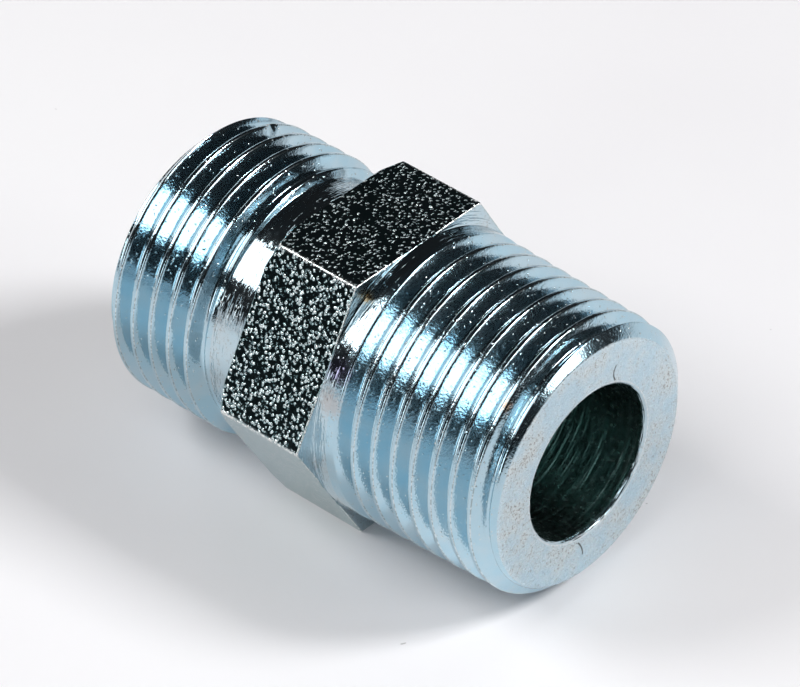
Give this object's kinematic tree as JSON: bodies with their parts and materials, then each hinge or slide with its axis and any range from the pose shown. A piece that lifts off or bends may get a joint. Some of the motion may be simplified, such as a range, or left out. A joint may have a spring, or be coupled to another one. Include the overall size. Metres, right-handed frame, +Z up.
{
  "type": "double nipple",
  "caption": "Hexagon pipe nipple that joins hydraulic lines: a tapered thread on one end, a parallel thread with a relief groove on the other, and a straight through bore.",
  "frame": {"origin": "on the bore's axis, midway through the hexagon", "axes": "+X along the axis towards the tapered thread, +Z up through a hexagon flat, +Y through a hexagon corner"},
  "size_m": [0.028, 0.0196, 0.017],
  "materials": {
    "zinc_plated_steel": "bright zinc plating with a blue passivation, turned on the ends and matt on the hexagon's drawn flats"
  },
  "bodies": {
    "root": {"nipple_body": "zinc_plated_steel"}
  },
  "joints": []
}
